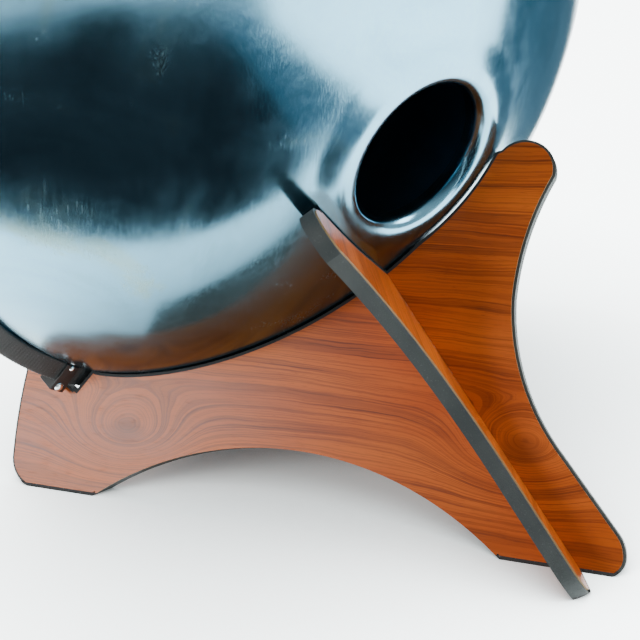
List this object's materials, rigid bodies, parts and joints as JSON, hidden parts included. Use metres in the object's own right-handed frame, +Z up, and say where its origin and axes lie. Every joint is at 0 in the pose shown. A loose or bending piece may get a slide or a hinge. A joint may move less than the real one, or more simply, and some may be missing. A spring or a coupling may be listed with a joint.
{
  "type": "handpan on stand",
  "caption": "Steel handpan with a gu port, leaning in a knock-down wooden stand of two leaning boards that cross in a halving joint.",
  "frame": {"origin": "on the floor, in the middle of the whole object's box", "axes": "+Z up; X = 0 is the plane of symmetry; +Y towards the gu port (the back), the playing side with the ding faces -Y; the right board's front foot is at +X"},
  "size_m": [0.54, 0.4027, 0.5283],
  "materials": {
    "nitrided_steel": "heat-blued nitrided steel, fine brushed",
    "bond": "cured adhesive",
    "rim_band": "ribbed black rubber",
    "clip": "black",
    "rivet": "bright",
    "board_core": "raw fibreboard",
    "wood_laminate": "red-brown wood grain laminate, satin",
    "edge_band": "fine textured charcoal",
    "cradle_pad": "soft black foam rubber",
    "foot_pad": "black rubber"
  },
  "bodies": {
    "right_board": {"right_board_core": "board_core", "right_board_outer_laminate": "wood_laminate", "right_board_inner_laminate": "wood_laminate", "right_board_edge_band": "edge_band", "right_board_cradle_pad": "cradle_pad", "right_board_front_foot_pad": "foot_pad", "right_board_back_foot_pad": "foot_pad"},
    "left_board": {"left_board_core": "board_core", "left_board_outer_laminate": "wood_laminate", "left_board_inner_laminate": "wood_laminate", "left_board_edge_band": "edge_band", "left_board_cradle_pad": "cradle_pad", "left_board_front_foot_pad": "foot_pad", "left_board_back_foot_pad": "foot_pad"},
    "handpan": {"upper_shell": "nitrided_steel", "lower_shell": "nitrided_steel", "flange_bond": "bond", "rim_band": "rim_band", "band_clip": "clip", "clip_rivets": "rivet"}
  },
  "joints": [
    {"name": "handpan_lift", "type": "slide", "parent": "right_board", "child": "handpan", "axis": [0, 0, 1], "range_m": [0, 0.45]},
    {"name": "left_board_slide", "type": "slide", "parent": "right_board", "child": "left_board", "axis": [0, -0.766, 0.6428], "range_m": [0, 0.1125]}
  ],
  "couplings": [
    {"joint": "left_board_slide", "follows": "handpan_lift", "ratio": 0.25}
  ]
}
